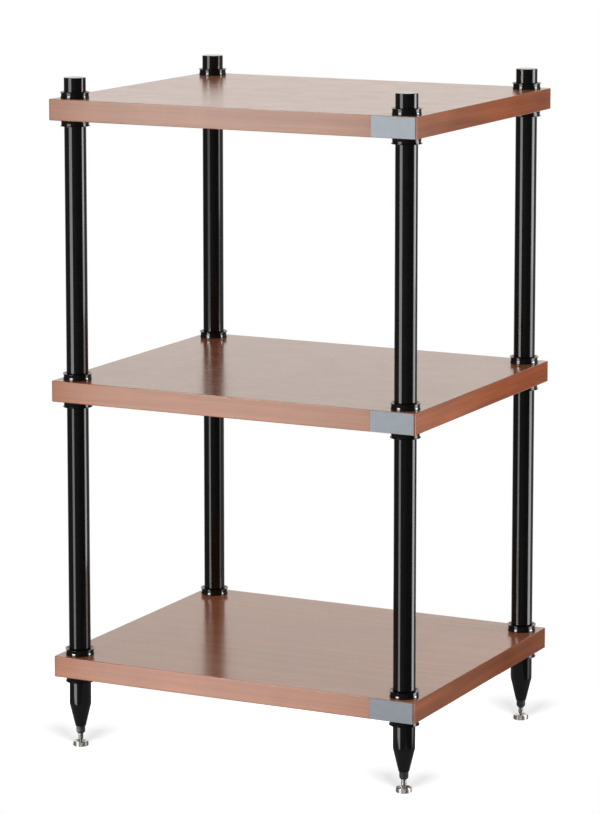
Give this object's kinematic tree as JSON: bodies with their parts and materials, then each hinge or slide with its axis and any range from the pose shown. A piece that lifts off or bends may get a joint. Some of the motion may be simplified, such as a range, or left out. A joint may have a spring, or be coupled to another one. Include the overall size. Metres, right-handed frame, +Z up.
{
  "type": "audio equipment rack",
  "caption": "Open free-standing rack of veneered boards on black screw-together pillars, with collars, caps, foot cones and adjustable spikes on floor discs.",
  "frame": {"origin": "on the floor, at the centre of the whole object's plan", "axes": "+Z up, the front edges with the badge plates face -Y, +X to the right as seen from the front"},
  "size_m": [0.6, 0.496, 1.022],
  "materials": {
    "board_veneer": "reddish brown wood veneer, straight grain along the width, semi-gloss lacquer",
    "badge_plate": "bare brushed metal",
    "black_gloss": "black gloss lacquer",
    "black_steel": "black oxide, satin",
    "chrome": "polished"
  },
  "bodies": {
    "rack": {"bottom_board": "board_veneer", "bottom_badge_plate": "badge_plate", "middle_board": "board_veneer", "middle_badge_plate": "badge_plate", "top_board": "board_veneer", "top_badge_plate": "badge_plate", "bottom_lower_collar_front_left": "black_gloss", "bottom_upper_collar_front_left": "black_gloss", "middle_lower_collar_front_left": "black_gloss", "middle_upper_collar_front_left": "black_gloss", "top_lower_collar_front_left": "black_gloss", "top_upper_collar_front_left": "black_gloss", "lower_pillar_front_left": "black_gloss", "upper_pillar_front_left": "black_gloss", "cap_front_left": "black_gloss", "foot_cone_front_left": "black_gloss", "bottom_lower_collar_front_right": "black_gloss", "bottom_upper_collar_front_right": "black_gloss", "middle_lower_collar_front_right": "black_gloss", "middle_upper_collar_front_right": "black_gloss", "top_lower_collar_front_right": "black_gloss", "top_upper_collar_front_right": "black_gloss", "lower_pillar_front_right": "black_gloss", "upper_pillar_front_right": "black_gloss", "cap_front_right": "black_gloss", "foot_cone_front_right": "black_gloss", "bottom_lower_collar_rear_left": "black_gloss", "bottom_upper_collar_rear_left": "black_gloss", "middle_lower_collar_rear_left": "black_gloss", "middle_upper_collar_rear_left": "black_gloss", "top_lower_collar_rear_left": "black_gloss", "top_upper_collar_rear_left": "black_gloss", "lower_pillar_rear_left": "black_gloss", "upper_pillar_rear_left": "black_gloss", "cap_rear_left": "black_gloss", "foot_cone_rear_left": "black_gloss", "bottom_lower_collar_rear_right": "black_gloss", "bottom_upper_collar_rear_right": "black_gloss", "middle_lower_collar_rear_right": "black_gloss", "middle_upper_collar_rear_right": "black_gloss", "top_lower_collar_rear_right": "black_gloss", "top_upper_collar_rear_right": "black_gloss", "lower_pillar_rear_right": "black_gloss", "upper_pillar_rear_right": "black_gloss", "cap_rear_right": "black_gloss", "foot_cone_rear_right": "black_gloss"},
    "spike_front_left": {"spike_front_left": "chrome"},
    "lock_nut_front_left": {"lock_nut_front_left": "black_steel"},
    "floor_disc_front_left": {"floor_disc_front_left": "chrome"},
    "spike_front_right": {"spike_front_right": "chrome"},
    "lock_nut_front_right": {"lock_nut_front_right": "black_steel"},
    "floor_disc_front_right": {"floor_disc_front_right": "chrome"},
    "spike_rear_left": {"spike_rear_left": "chrome"},
    "lock_nut_rear_left": {"lock_nut_rear_left": "black_steel"},
    "floor_disc_rear_left": {"floor_disc_rear_left": "chrome"},
    "spike_rear_right": {"spike_rear_right": "chrome"},
    "lock_nut_rear_right": {"lock_nut_rear_right": "black_steel"},
    "floor_disc_rear_right": {"floor_disc_rear_right": "chrome"}
  },
  "joints": [
    {"name": "spike_screw_front_left", "type": "slide", "parent": "rack", "child": "spike_front_left", "axis": [0, 0, -1], "range_m": [-0.005, 0.01]},
    {"name": "nut_run_front_left", "type": "slide", "parent": "rack", "child": "lock_nut_front_left", "axis": [0, 0, -1], "range_m": [0, 0.005]},
    {"name": "disc_drop_front_left", "type": "slide", "parent": "spike_front_left", "child": "floor_disc_front_left", "axis": [0, 0, -1], "range_m": [0, 0.012]},
    {"name": "spike_screw_front_right", "type": "slide", "parent": "rack", "child": "spike_front_right", "axis": [0, 0, -1], "range_m": [-0.005, 0.01]},
    {"name": "nut_run_front_right", "type": "slide", "parent": "rack", "child": "lock_nut_front_right", "axis": [0, 0, -1], "range_m": [0, 0.005]},
    {"name": "disc_drop_front_right", "type": "slide", "parent": "spike_front_right", "child": "floor_disc_front_right", "axis": [0, 0, -1], "range_m": [0, 0.012]},
    {"name": "spike_screw_rear_left", "type": "slide", "parent": "rack", "child": "spike_rear_left", "axis": [0, 0, -1], "range_m": [-0.005, 0.01]},
    {"name": "nut_run_rear_left", "type": "slide", "parent": "rack", "child": "lock_nut_rear_left", "axis": [0, 0, -1], "range_m": [0, 0.005]},
    {"name": "disc_drop_rear_left", "type": "slide", "parent": "spike_rear_left", "child": "floor_disc_rear_left", "axis": [0, 0, -1], "range_m": [0, 0.012]},
    {"name": "spike_screw_rear_right", "type": "slide", "parent": "rack", "child": "spike_rear_right", "axis": [0, 0, -1], "range_m": [-0.005, 0.01]},
    {"name": "nut_run_rear_right", "type": "slide", "parent": "rack", "child": "lock_nut_rear_right", "axis": [0, 0, -1], "range_m": [0, 0.005]},
    {"name": "disc_drop_rear_right", "type": "slide", "parent": "spike_rear_right", "child": "floor_disc_rear_right", "axis": [0, 0, -1], "range_m": [0, 0.012]}
  ]
}
